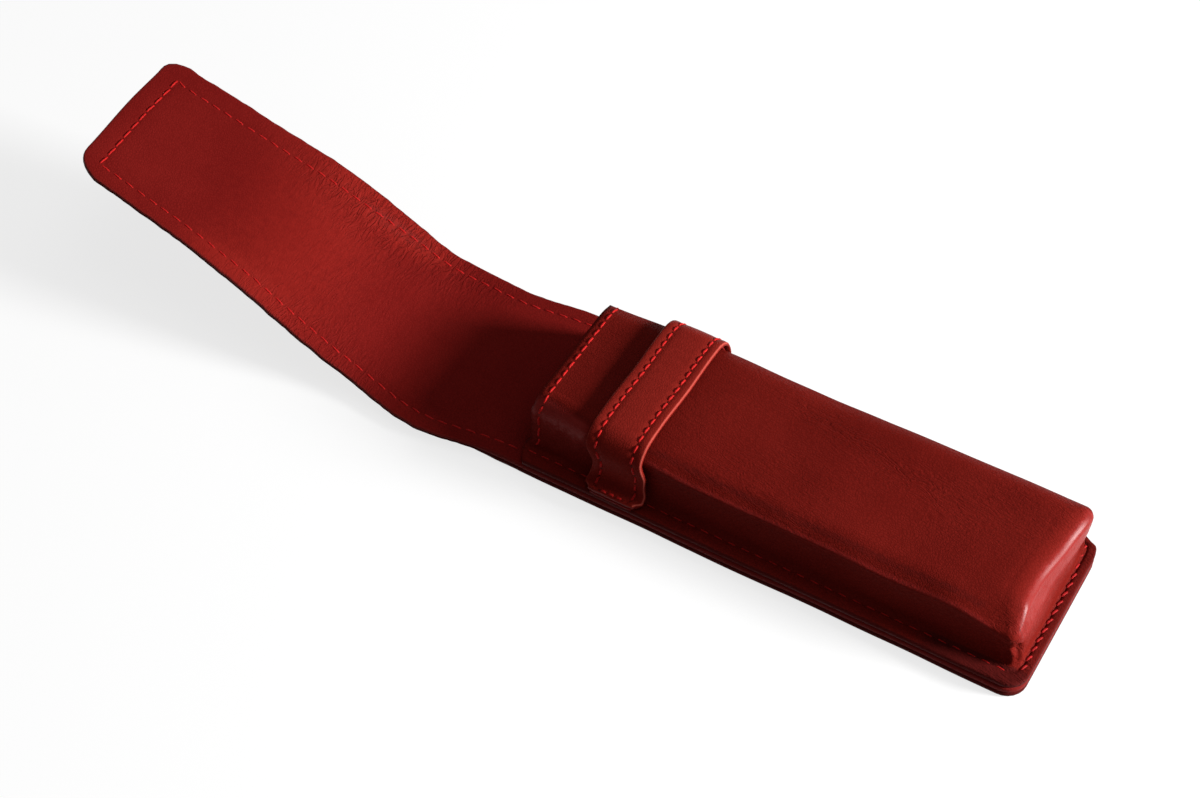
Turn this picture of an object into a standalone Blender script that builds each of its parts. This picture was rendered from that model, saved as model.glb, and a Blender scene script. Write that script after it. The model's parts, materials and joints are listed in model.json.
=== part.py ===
import math

import bmesh
import bpy
from mathutils import Matrix, Vector

# Driving sizes in metres
BACK_LENGTH = 0.162
BACK_CORNER_RADIUS = 0.005
LEATHER = 0.0013
LINING = 0.0006
BOARD = 0.0006
LAYER_GAP = 0.0003
BOARD_INSET = 0.0062

BOX_WIDTH = 0.040
SIDE_FLANGE = 0.005
BOX_TOP = 0.0176
BOX_SHOULDER_RADIUS = 0.0038
BOX_FOOT_RADIUS = 0.0007
BOX_CORNER_RADIUS = 0.0045
BOX_LINING = 0.0007
END_FLANGE = 0.003
MOUTH_SETBACK = 0.035
MOUTH_FLARE = 0.003
MOUTH_FLARE_HEIGHT = 0.005
LINING_SETBACK = 0.0005

DIVIDER = 0.0008
DIVIDER_FOOT = 0.0026
DIVIDER_SETBACK = 0.003
DIVIDER_END_GAP = 0.0015

KEEPER_WIDTH = 0.0145
KEEPER_FROM_MOUTH = 0.016
KEEPER_LEATHER = 0.0011
KEEPER_LINING = 0.0005
KEEPER_SIDE_GAP = 0.0003
KEEPER_TOP_GAP = 0.001
KEEPER_FOOT_RADIUS = 0.001
KEEPER_ROW_INSET = 0.0026
KEEPER_TACK_INSET = 0.001
KEEPER_TACK_END_INSET = 0.0039

BRIDGE_LENGTH = 0.0188
FLAP_CREASE_NARROWING = 0.0016
BRIDGE_RISE_DEG = 24.0
TONGUE_LENGTH = 0.0782
TONGUE_RISE_DEG = 19.0
TONGUE_CORNER_RADIUS = 0.0072
LOWER_FOLD_GAP = 0.0003
UPPER_FOLD_GAP = 0.0008
TONGUE_STATION_SHARES = (0.0, 0.14, 0.30, 0.46, 0.62, 0.80, 1.0)
TONGUE_NARROWING_SHARES = (0.0, 0.24, 0.50, 0.73, 0.88, 0.96, 1.0)

SEAM_INSET = 0.0037
END_SEAM_INSET = 0.0017
END_SEAM_SIDE_INSET = 0.0048
SIDE_SEAM_END_GAP = 0.0028
MOUTH_ROW_INSET = 0.0021
MOUTH_ROW_FOOT_GAP = 0.0013
THREAD_RADIUS = 0.0003
THREAD_FOLD_GAP = 0.0006

# Derived sizes
BACK_WIDTH = BOX_WIDTH + 2 * SIDE_FLANGE
BRIDGE_END_WIDTH = BACK_WIDTH - FLAP_CREASE_NARROWING
TONGUE_TIP_WIDTH = BOX_WIDTH
BACK_HALF = BACK_LENGTH / 2
BACK_EDGE = BACK_WIDTH / 2
BORDER = LINING + LAYER_GAP + BOARD
LINING_FLOOR = LEATHER + LAYER_GAP
BACK_TOP = LINING_FLOOR + BORDER
FLANGE_FLOOR = BACK_TOP + LAYER_GAP
FLANGE_TOP = FLANGE_FLOOR + LEATHER
BOX_HALF = BOX_WIDTH / 2
BOX_END = BACK_HALF - END_FLANGE
MOUTH = MOUTH_SETBACK - BACK_HALF
GROOVE = THREAD_RADIUS + LAYER_GAP
SEAM_LINE = BACK_EDGE - SEAM_INSET
POCKET_SKIN = LEATHER + LAYER_GAP + BOX_LINING
POCKET_HALF = BOX_HALF - POCKET_SKIN
POCKET_END = BOX_END - POCKET_SKIN
POCKET_TOP = BOX_TOP - POCKET_SKIN
DIVIDER_CENTRE = (2 * POCKET_HALF - 2 * DIVIDER) / 3 / 2 + DIVIDER / 2
KEEPER_START = MOUTH + KEEPER_FROM_MOUTH
KEEPER_END = KEEPER_START + KEEPER_WIDTH
KEEPER_REACH = BACK_EDGE
END_SEAM_REACH = BACK_EDGE - END_SEAM_SIDE_INSET
KEEPER_FLOOR = FLANGE_TOP + THREAD_RADIUS + LAYER_GAP
KEEPER_SKIN = KEEPER_LINING + LAYER_GAP + KEEPER_LEATHER

ARC_STEPS = 5
PLAN_ARC_STEPS = 6
THREAD_SIDES = 6
GROOVE_SIDES = 4

LEATHER_RED = (0.19, 0.012, 0.014, 1.0)
LINING_RED = (0.22, 0.016, 0.018, 1.0)
THREAD_RED = (0.48, 0.02, 0.02, 1.0)
CARD_GREY = (0.42, 0.36, 0.30, 1.0)


def clear_scene():
    for item in list(bpy.data.objects):
        bpy.data.objects.remove(item, do_unlink=True)


def make_material(name, colour, roughness):
    material = bpy.data.materials.new(name)
    material.use_nodes = True
    shader = material.node_tree.nodes["Principled BSDF"]
    shader.inputs["Base Color"].default_value = colour
    shader.inputs["Roughness"].default_value = roughness
    shader.inputs["Metallic"].default_value = 0.0
    return material


def make_object(name, points, faces, look=None, parent=None, smooth=False):
    mesh = bpy.data.meshes.new(name)
    mesh.from_pydata([tuple(point) for point in points], [], faces)
    shell = bmesh.new()
    shell.from_mesh(mesh)
    bmesh.ops.recalc_face_normals(shell, faces=shell.faces)
    shell.to_mesh(mesh)
    shell.free()
    for polygon in mesh.polygons:
        polygon.use_smooth = smooth
    item = bpy.data.objects.new(name, mesh)
    bpy.context.collection.objects.link(item)
    if look:
        colour, roughness = look
        mesh.materials.append(make_material(name + "_finish", colour, roughness))
    if parent:
        item.parent = parent
    return item


def make_axis(name, location, rise_deg, parent=None):
    axis = bpy.data.objects.new(name, None)
    bpy.context.collection.objects.link(axis)
    axis.location = location
    axis.rotation_euler = (0, math.radians(rise_deg), 0)
    if parent:
        axis.parent = parent
    return axis


def cut(item, cutter):
    cutter.hide_render = True
    cutter.display_type = "WIRE"
    modifier = item.modifiers.new("cut_" + cutter.name, "BOOLEAN")
    modifier.operation = "DIFFERENCE"
    modifier.solver = "EXACT"
    modifier.object = cutter


# Plates and layered panels
def arc(centre, radius, start_deg, end_deg, steps):
    points = []
    for step in range(steps + 1):
        angle = math.radians(start_deg + (end_deg - start_deg) * step / steps)
        points.append((centre[0] + radius * math.cos(angle), centre[1] + radius * math.sin(angle)))
    return points


def back_outline(inset):
    start = -BACK_HALF + LOWER_FOLD_GAP / 2 + inset
    end = BACK_HALF - inset
    edge = BACK_EDGE - inset
    radius = max(BACK_CORNER_RADIUS - inset, BOX_FOOT_RADIUS)
    outline = [(start, -edge)]
    outline += arc((end - radius, -edge + radius), radius, -90, 0, PLAN_ARC_STEPS)
    outline += arc((end - radius, edge - radius), radius, 0, 90, PLAN_ARC_STEPS)
    outline.append((start, edge))
    return outline


def bridge_outline(inset):
    start = -LOWER_FOLD_GAP / 2
    end = -BRIDGE_LENGTH + UPPER_FOLD_GAP / 2
    near_start = BACK_EDGE - inset
    near_end = BRIDGE_END_WIDTH / 2 - inset
    return [(end, -near_end), (start, -near_start), (start, near_start), (end, near_end)]


def tongue_half_width(share):
    for index in range(len(TONGUE_STATION_SHARES) - 1):
        low, high = TONGUE_STATION_SHARES[index], TONGUE_STATION_SHARES[index + 1]
        if share <= high:
            before, after = TONGUE_NARROWING_SHARES[index], TONGUE_NARROWING_SHARES[index + 1]
            narrowing = before + (after - before) * (share - low) / (high - low)
            return (BRIDGE_END_WIDTH + (TONGUE_TIP_WIDTH - BRIDGE_END_WIDTH) * narrowing) / 2
    return TONGUE_TIP_WIDTH / 2


def tongue_near_edge(inset, fold_inset):
    radius = max(TONGUE_CORNER_RADIUS - inset, BOX_FOOT_RADIUS)
    tip = TONGUE_LENGTH - inset
    start = UPPER_FOLD_GAP / 2 + fold_inset
    edge = [(-start, -(tongue_half_width(start / TONGUE_LENGTH) - inset))]
    for share in TONGUE_STATION_SHARES[1:-1]:
        along = share * TONGUE_LENGTH
        if start < along < tip - radius:
            edge.append((-along, -(tongue_half_width(share) - inset)))
    tip_half = tongue_half_width(1.0) - inset
    edge += arc((-tip + radius, -tip_half + radius), radius, 270, 180, PLAN_ARC_STEPS)
    return edge


def tongue_outline(inset, fold_inset):
    near = tongue_near_edge(inset, fold_inset)
    return near + [(along, -across) for along, across in reversed(near)]


def make_plate(name, outline, floor, top, look, parent=None):
    count = len(outline)
    points = [(x, y, floor) for x, y in outline] + [(x, y, top) for x, y in outline]
    faces = [list(range(count))[::-1], list(range(count, 2 * count))]
    for index in range(count):
        following = (index + 1) % count
        faces.append((index, following, following + count, index + count))
    return make_object(name, points, faces, look, parent)


def make_hollow_plate(name, outline, pocket, floor, roof, top, look, parent=None):
    plate = make_plate(name, outline, floor, top, look, parent)
    pocket_floor = floor - LAYER_GAP
    cutter = make_plate(name + "_pocket_cutter", pocket, pocket_floor, roof, None, parent)
    cut(plate, cutter)
    return plate


# Threads and the grooves that they lie in
def sweep(name, path, ups, radius, sides, turn_deg, look=None, parent=None, smooth=False):
    points = []
    for index, place in enumerate(path):
        before = path[max(index - 1, 0)]
        after = path[min(index + 1, len(path) - 1)]
        along = (after - before).normalized()
        up = (ups[index] - along * ups[index].dot(along)).normalized()
        side = along.cross(up)
        for corner in range(sides):
            angle = math.radians(turn_deg) + math.tau * corner / sides
            points.append(place + side * radius * math.cos(angle) + up * radius * math.sin(angle))
    faces = []
    for index in range(len(path) - 1):
        for corner in range(sides):
            following = (corner + 1) % sides
            low, high = index * sides, (index + 1) * sides
            faces.append((low + corner, low + following, high + following, high + corner))
    faces.append(tuple(range(sides))[::-1])
    last = (len(path) - 1) * sides
    faces.append(tuple(last + corner for corner in range(sides)))
    return make_object(name, points, faces, look, parent, smooth)


def make_thread(name, path, ups, parent=None):
    look = (THREAD_RED, 0.55)
    return sweep(name, path, ups, THREAD_RADIUS, THREAD_SIDES, 0, look, parent, True)


def cut_groove(item, name, path, ups, parent=None):
    square_share = math.sqrt(2)
    first = path[0] + (path[0] - path[1]).normalized() * GROOVE
    last = path[-1] + (path[-1] - path[-2]).normalized() * GROOVE
    long_path = [first] + list(path[1:-1]) + [last]
    radius = GROOVE * square_share
    cutter = sweep(name + "_groove_cutter", long_path, ups, radius, GROOVE_SIDES, 45, None, parent)
    cut(item, cutter)


def flat_path(points, height):
    return [Vector((x, y, height)) for x, y in points], [Vector((0, 0, 1)) for point in points]


# Moulded box sections
def box_section(half, floor, top, shoulder, foot, reach, growth):
    # Points run from the flange edge up the wall to the top, as (half width, height)
    points = []
    wall = half + growth
    if reach:
        foot_centre = (wall + foot, floor + foot)
        points.append((reach, floor))
        for step in range(ARC_STEPS + 1):
            angle = math.radians(270 - 90 * step / ARC_STEPS)
            x = foot_centre[0] + foot * math.cos(angle)
            points.append((x, foot_centre[1] + foot * math.sin(angle)))
    else:
        points.append((wall, floor))
    centre = (half - shoulder, top - shoulder)
    radius = shoulder + growth
    for step in range(ARC_STEPS + 1):
        angle = math.radians(90 * step / ARC_STEPS)
        points.append((centre[0] + radius * math.cos(angle), centre[1] + radius * math.sin(angle)))
    return points


def flange_share(half_width):
    return max(half_width - BOX_HALF, 0) / (BACK_EDGE - BOX_HALF)


def box_ring(half_width, height, mouth):
    share = flange_share(half_width)
    inner = min(half_width - BOX_HALF, 0)
    end = BOX_END + inner + END_FLANGE * share
    corner = BOX_CORNER_RADIUS + inner + (BACK_CORNER_RADIUS - BOX_CORNER_RADIUS) * share
    corner = max(corner, BOX_FOOT_RADIUS)
    low = max(1 - (height - FLANGE_FLOOR) / MOUTH_FLARE_HEIGHT, 0)
    start = mouth - MOUTH_FLARE * min(low * low, 1) if mouth == MOUTH else mouth
    near = [(start, -half_width)]
    near += arc((end - corner, -half_width + corner), corner, -90, 0, PLAN_ARC_STEPS)
    ring = near + [(x, -y) for x, y in reversed(near)]
    return [(x, y, height) for x, y in ring]


def make_shell(name, outer, inner, mouth, look):
    rings = [box_ring(half, height, mouth) for half, height in outer]
    rings += [box_ring(half, height, mouth) for half, height in reversed(inner)]
    count = len(rings[0])
    points = [point for ring in rings for point in ring]
    faces = []
    total = len(rings)
    top_ring = len(outer) - 1
    for ring in range(total):
        following = (ring + 1) % total
        if ring == top_ring:
            continue
        for step in range(count - 1):
            a, b = ring * count + step, ring * count + step + 1
            faces.append((a, b, following * count + step + 1, following * count + step))
    under = top_ring + 1
    faces.append(tuple(top_ring * count + step for step in range(count)))
    faces.append(tuple(under * count + step for step in range(count))[::-1])
    last = count - 1
    for ring in range(top_ring):
        mate, next_mate = total - 1 - ring, total - 2 - ring
        for step in (0, last):
            faces.append((ring * count + step, (ring + 1) * count + step,
                          next_mate * count + step, mate * count + step))
    faces.append((top_ring * count, top_ring * count + last, under * count + last, under * count))
    return make_object(name, points, faces, look)


def make_band(name, outer, inner, start, end, look):
    half = outer + inner[::-1]
    loop = outer + [(-y, z) for y, z in reversed(outer)]
    loop += [(-y, z) for y, z in inner] + list(reversed(inner))
    count = len(loop)
    points = [(start, -y, z) for y, z in loop] + [(end, -y, z) for y, z in loop]
    pairs = len(half)
    faces = []
    for index in range(count):
        following = (index + 1) % count
        faces.append((index, following, following + count, index + count))
    for index in range(pairs - 1):
        mate, next_mate = count - 1 - index, count - 2 - index
        if next_mate > index + 1:
            quad = (index, index + 1, next_mate, mate)
            faces.append(quad)
            faces.append(tuple(corner + count for corner in quad))
    return make_object(name, points, faces, look)


def section_path(section, place):
    near = [Vector((place, -y, z)) for y, z in section]
    far = [Vector((place, y, z)) for y, z in reversed(section)]
    path = near + far
    ups = []
    for index in range(len(path)):
        before, after = path[max(index - 1, 0)], path[min(index + 1, len(path) - 1)]
        along = (after - before).normalized()
        ups.append(Vector((1, 0, 0)).cross(along))
    return path, ups


# Back panel
def build_back():
    outline = back_outline(0)
    leather_look = (LEATHER_RED, 0.46)
    make_plate("back_outer", outline, 0, LEATHER, leather_look)
    board_floor, board_top = LINING_FLOOR, LINING_FLOOR + BOARD
    make_plate("back_board", back_outline(BOARD_INSET), board_floor, board_top, (CARD_GREY, 0.9))
    pocket = back_outline(BOARD_INSET - LAYER_GAP)
    roof = board_top + LAYER_GAP
    lining_look = (LINING_RED, 0.5)
    return make_hollow_plate("back_lining", outline, pocket, LINING_FLOOR, roof, BACK_TOP, lining_look)


def side_seam_path(side):
    start = -BACK_HALF + THREAD_FOLD_GAP
    flange_start = MOUTH - MOUTH_FLARE
    step_foot = flange_start - 2 * GROOVE - (FLANGE_TOP - BACK_TOP)
    step_top = flange_start - 2 * GROOVE
    end = BACK_HALF - SIDE_SEAM_END_GAP
    heights = ((start, BACK_TOP), (step_foot, BACK_TOP), (step_top, FLANGE_TOP), (end, FLANGE_TOP))
    path = [Vector((x, side * SEAM_LINE, z)) for x, z in heights]
    return path, [Vector((0, 0, 1))] * len(path)


# Moulded front, its lining and the partitions
def build_front():
    reach = BACK_EDGE
    outer = box_section(BOX_HALF, FLANGE_TOP, BOX_TOP, BOX_SHOULDER_RADIUS, BOX_FOOT_RADIUS, reach, 0)
    inner = box_section(BOX_HALF, FLANGE_FLOOR, BOX_TOP, BOX_SHOULDER_RADIUS,
                        BOX_FOOT_RADIUS + LEATHER, reach, -LEATHER)
    shell = make_shell("front_shell", outer, inner, MOUTH, (LEATHER_RED, 0.42))
    skin = -(LEATHER + LAYER_GAP)
    lining_outer = box_section(BOX_HALF, FLANGE_FLOOR, BOX_TOP, BOX_SHOULDER_RADIUS, 0, 0, skin)
    lining_inner = box_section(BOX_HALF, FLANGE_FLOOR, BOX_TOP, BOX_SHOULDER_RADIUS, 0, 0,
                               skin - BOX_LINING)
    make_shell("front_lining", lining_outer, lining_inner, MOUTH + LINING_SETBACK, (LINING_RED, 0.55))
    return shell, outer


def build_dividers():
    start = MOUTH + DIVIDER_SETBACK
    end = POCKET_END - DIVIDER_END_GAP
    floor, top = FLANGE_FLOOR, POCKET_TOP - LAYER_GAP
    for name, side in (("divider_near", -1), ("divider_far", 1)):
        inside = side * (DIVIDER_CENTRE - DIVIDER / 2)
        outside = side * (DIVIDER_CENTRE + DIVIDER / 2)
        foot_end = side * (DIVIDER_CENTRE - DIVIDER / 2 - DIVIDER_FOOT)
        loop = ((foot_end, floor), (outside, floor), (outside, top), (inside, top),
                (inside, floor + DIVIDER), (foot_end, floor + DIVIDER))
        count = len(loop)
        points = [(start, y, z) for y, z in loop] + [(end, y, z) for y, z in loop]
        faces = [tuple(range(count)), tuple(range(count, 2 * count))[::-1]]
        for index in range(count):
            following = (index + 1) % count
            faces.append((index, following, following + count, index + count))
        make_object(name, points, faces, (LINING_RED, 0.6))


# Keeper strap
def keeper_section(depth):
    # Depth counts from the strap's outer face inward
    growth = KEEPER_SIDE_GAP + KEEPER_SKIN - depth
    lift = KEEPER_TOP_GAP - KEEPER_SIDE_GAP
    floor = KEEPER_FLOOR + KEEPER_SKIN - depth
    foot = KEEPER_FOOT_RADIUS + depth
    top = BOX_TOP + lift
    return box_section(BOX_HALF, floor, top, BOX_SHOULDER_RADIUS, foot, KEEPER_REACH, growth)


def build_keeper():
    surface = keeper_section(0)
    under_leather = keeper_section(KEEPER_LEATHER)
    lining_top = keeper_section(KEEPER_LEATHER + LAYER_GAP)
    lining_floor = keeper_section(KEEPER_SKIN)
    start, end = KEEPER_START, KEEPER_END
    leather = make_band("keeper_outer", surface, under_leather, start, end, (LEATHER_RED, 0.4))
    make_band("keeper_lining", lining_top, lining_floor, start, end, (LINING_RED, 0.55))
    row = surface[1:]
    rows = (("keeper_thread_mouth", start + KEEPER_ROW_INSET), ("keeper_thread_end", end - KEEPER_ROW_INSET))
    for name, place in rows:
        path, ups = section_path(row, place)
        cut_groove(leather, name, path, ups)
        make_thread(name, path, ups)
    for name, side in (("keeper_tack_near", -1), ("keeper_tack_far", 1)):
        line = side * (KEEPER_REACH - KEEPER_TACK_INSET)
        ends = (start + KEEPER_TACK_END_INSET, end - KEEPER_TACK_END_INSET)
        path, ups = flat_path([(x, line) for x in ends], surface[0][1])
        cut_groove(leather, name, path, ups)
        make_thread(name, path, ups)


# Seams of the case
def build_case_seams(lining, shell, shell_section):
    for name, side in (("side_seam_thread_near", -1), ("side_seam_thread_far", 1)):
        path, ups = side_seam_path(side)
        cut_groove(lining, name + "_floor", path[:2], ups[:2])
        flange_row = [path[2] + Vector((GROOVE, 0, 0)), path[3]]
        cut_groove(shell, name + "_flange", flange_row, ups[2:])
        make_thread(name, path, ups)
    end_line = BACK_HALF - END_SEAM_INSET
    path, ups = flat_path([(end_line, -END_SEAM_REACH), (end_line, END_SEAM_REACH)], FLANGE_TOP)
    cut_groove(shell, "end_seam_thread", path, ups)
    make_thread("end_seam_thread", path, ups)
    wall_foot = (BOX_HALF, FLANGE_TOP + BOX_FOOT_RADIUS + MOUTH_ROW_FOOT_GAP)
    over_box = [wall_foot] + [spot for spot in shell_section if spot[1] > wall_foot[1]]
    path, ups = section_path(over_box, MOUTH + MOUTH_ROW_INSET)
    cut_groove(shell, "mouth_thread", path, ups)
    make_thread("mouth_thread", path, ups)


# Folding flap
def build_bridge(axis):
    outline = bridge_outline(0)
    make_plate("bridge_outer", outline, -BACK_TOP, -BACK_TOP + LEATHER, (LEATHER_RED, 0.46), axis)
    lining = make_plate("bridge_lining", outline, -BORDER, 0, (LINING_RED, 0.5), axis)
    row = bridge_outline(SEAM_INSET)
    start, end = -THREAD_FOLD_GAP, -BRIDGE_LENGTH + UPPER_FOLD_GAP
    for name, side in (("bridge_thread_near", -1), ("bridge_thread_far", 1)):
        path, ups = flat_path([(start, -side * row[1][1]), (end, -side * row[0][1])], 0)
        cut_groove(lining, name, path, ups, axis)
        make_thread(name, path, ups, axis)


def build_tongue(axis):
    outline = tongue_outline(0, 0)
    make_plate("tongue_outer", outline, -BACK_TOP, -BACK_TOP + LEATHER, (LEATHER_RED, 0.46), axis)
    board = tongue_outline(BOARD_INSET, BOARD_INSET)
    make_plate("tongue_board", board, -BORDER, -BORDER + BOARD, (CARD_GREY, 0.9), axis)
    pocket = tongue_outline(BOARD_INSET - LAYER_GAP, BOARD_INSET - LAYER_GAP)
    lining = make_hollow_plate("tongue_lining", outline, pocket, -BORDER, -LINING, 0, (LINING_RED, 0.5), axis)
    near = tongue_near_edge(SEAM_INSET, GROOVE)
    path, ups = flat_path(near + [(x, -y) for x, y in reversed(near)], 0)
    cut_groove(lining, "tongue_thread", path, ups, axis)
    make_thread("tongue_thread", path, ups, axis)


def build():
    clear_scene()
    back_lining = build_back()
    shell, shell_section = build_front()
    build_dividers()
    build_keeper()
    build_case_seams(back_lining, shell, shell_section)
    fold_lower = make_axis("fold_lower_axis", (-BACK_HALF, 0, BACK_TOP), BRIDGE_RISE_DEG)
    build_bridge(fold_lower)
    bend = TONGUE_RISE_DEG - BRIDGE_RISE_DEG
    fold_upper = make_axis("fold_upper_axis", (-BRIDGE_LENGTH, 0, 0), bend, fold_lower)
    build_tongue(fold_upper)


build()
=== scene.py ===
import json
from math import atan2, copysign, cos, exp, hypot, radians, sin, tau

import bmesh
import bpy
from mathutils import Matrix, Vector, noise


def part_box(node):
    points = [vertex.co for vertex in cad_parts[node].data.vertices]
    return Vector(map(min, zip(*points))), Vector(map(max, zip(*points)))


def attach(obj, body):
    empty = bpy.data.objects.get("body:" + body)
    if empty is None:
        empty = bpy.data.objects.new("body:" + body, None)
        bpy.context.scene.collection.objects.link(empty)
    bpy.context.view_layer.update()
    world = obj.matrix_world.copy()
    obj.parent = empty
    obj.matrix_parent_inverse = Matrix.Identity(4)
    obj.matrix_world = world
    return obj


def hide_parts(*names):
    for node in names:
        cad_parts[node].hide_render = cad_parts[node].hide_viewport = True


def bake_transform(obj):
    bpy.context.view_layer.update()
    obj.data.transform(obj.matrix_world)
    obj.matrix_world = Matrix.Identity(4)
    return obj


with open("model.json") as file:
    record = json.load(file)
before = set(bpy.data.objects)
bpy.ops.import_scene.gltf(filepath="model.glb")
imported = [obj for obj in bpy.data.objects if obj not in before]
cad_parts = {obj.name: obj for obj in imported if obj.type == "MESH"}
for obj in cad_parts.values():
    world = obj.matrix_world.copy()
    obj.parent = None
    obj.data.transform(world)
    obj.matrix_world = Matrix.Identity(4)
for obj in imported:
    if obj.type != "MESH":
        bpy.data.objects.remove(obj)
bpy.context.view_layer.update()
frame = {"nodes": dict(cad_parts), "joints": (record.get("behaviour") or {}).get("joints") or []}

# Sizes of the real piece, in metres, read from the frame where a node gives them
MM = 0.001
_, BACK_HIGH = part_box("back_outer")
LINING_LOW, LINING_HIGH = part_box("back_lining")
_, FRONT_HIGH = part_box("front_shell")
KEEPER_LOW, KEEPER_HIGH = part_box("keeper_outer")
BACK_END = BACK_HIGH.x
BACK_EDGE = BACK_HIGH.y
BACK_CORNER = 5 * MM
LAYER_SPLIT = (BACK_HIGH.z + LINING_LOW.z) / 2
LAYER_GAP = 0.02 * MM
BACK_TOP = LINING_HIGH.z
BOX_TOP = FRONT_HIGH.z

FOLD_LOWER = Vector(frame["joints"][0]["pos_m"])
FOLD_UPPER = Vector(frame["joints"][1]["pos_m"])
BRIDGE_LENGTH = (FOLD_UPPER - FOLD_LOWER).length
BRIDGE_MIDDLE = FOLD_LOWER.x - BRIDGE_LENGTH / 2
BRIDGE_NARROWING = 0.8 * MM
TONGUE_LENGTH = 78.2 * MM
BRIDGE_END = FOLD_LOWER.x - BRIDGE_LENGTH
TIP = BRIDGE_END - TONGUE_LENGTH
TIP_CORNER = 6.4 * MM
TIP_HALF = 20 * MM

BOX_HALF = 20 * MM
BOX_END = BACK_END - 3 * MM
BOX_CORNER = 2.6 * MM
SHOULDER = 3.8 * MM
MOUTH = -46 * MM
MOUTH_ROW = MOUTH + 2.1 * MM
FLANGE_TOP = BACK_TOP + 1.5 * MM
SHELL_SKIN = 1.5 * MM
LINING_SKIN = 0.7 * MM
KEEPER_MIDDLE = (KEEPER_LOW.x + KEEPER_HIGH.x) / 2
KEEPER_HALF = (KEEPER_HIGH.x - KEEPER_LOW.x) / 2
KEEPER_SKIN = 2.2 * MM
KEEPER_ROW = 2.6 * MM
TACK_INSET = 3.6 * MM

BOARD_ROOM = 0.75 * MM
BOARD_THICK = 0.58 * MM
SEAM_INSET = 3.7 * MM
SEAM_ABOVE = BACK_TOP - 0.12 * MM
SEAM_BELOW = 0.33 * MM
SEAM_LAST = BACK_END - 4.6 * MM
UP = Vector((0, 0, 1))
DOWN = Vector((0, 0, -1))
SIDES = (("near", -1), ("far", 1))


def add_object(name, data):
    item = bpy.data.objects.new(name, data)
    bpy.context.collection.objects.link(item)
    return item


# Camera
def place_camera():
    lens_share = 2497.7 / 1200
    data = bpy.data.cameras.new("camera")
    data.sensor_width = 36
    data.lens = 36 * lens_share
    data.clip_start = 0.01
    camera = add_object("camera", data)
    right = Vector((0.869325, 0.493406, 0.028730))
    down = Vector((0.391601, -0.652160, -0.649104))
    ahead = right.cross(down)
    turn = Matrix((right, -down, -ahead)).transposed()
    camera.matrix_world = Matrix.Translation((0.14003, -0.33956, 0.45390)) @ turn.to_4x4()
    bpy.context.scene.camera = camera


# Shader helpers
def feed(tree, socket, value):
    """Links another node's output to a socket, or sets a plain value on it."""
    if isinstance(value, bpy.types.NodeSocket):
        tree.links.new(value, socket)
    elif value is not None:
        socket.default_value = value


def feed_all(tree, node, values):
    for name, value in values.items():
        feed(tree, node.inputs[name], value)


def add_node(tree, kind, **values):
    node = tree.nodes.new(kind)
    for name, value in values.items():
        if name in node.inputs:
            feed(tree, node.inputs[name], value)
        else:
            setattr(node, name, value)
    return node


def start_group(name, inputs, outputs):
    """A shader group of plain values: its tree, what it is given and what it has to fill."""
    group = bpy.data.node_groups.new(name, "ShaderNodeTree")
    for label, value in inputs.items():
        socket = group.interface.new_socket(label, in_out="INPUT", socket_type="NodeSocketFloat")
        socket.default_value = value
    for label in outputs:
        group.interface.new_socket(label, in_out="OUTPUT", socket_type="NodeSocketFloat")
    return group, group.nodes.new("NodeGroupInput").outputs, group.nodes.new("NodeGroupOutput")


def start_material(name):
    material = bpy.data.materials.new(name)
    material.use_nodes = True
    return material, material.node_tree, material.node_tree.nodes["Principled BSDF"]


def math_node(tree, operation, first, second=None):
    node = add_node(tree, "ShaderNodeMath", operation=operation)
    feed(tree, node.inputs[0], first)
    feed(tree, node.inputs[1], second)
    return node.outputs[0]


def plus(tree, first, second):
    return math_node(tree, "ADD", first, second)


def times(tree, first, second):
    return math_node(tree, "MULTIPLY", first, second)


def mix_colour(tree, share, first, second, blend="MIX"):
    node = add_node(tree, "ShaderNodeMix", data_type="RGBA", blend_type=blend, Factor=share)
    feed(tree, node.inputs[6], first)
    feed(tree, node.inputs[7], second)
    return node.outputs[2]


def ramp(tree, value, low, high):
    node = add_node(tree, "ShaderNodeMapRange", interpolation_type="SMOOTHSTEP", Value=value)
    feed_all(tree, node, {"From Min": low, "From Max": high})
    return node.outputs["Result"]


def object_place(tree):
    return tree.nodes.new("ShaderNodeTexCoord").outputs["Object"]


def noise_texture(tree, place, **values):
    return add_node(tree, "ShaderNodeTexNoise", Vector=place, **values).outputs["Fac"]


def mark(tree, label):
    """What the mesh says of a point, such as how scuffed it is and how much painted sheen it carries."""
    return add_node(tree, "ShaderNodeAttribute", attribute_name=label).outputs["Fac"]


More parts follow.
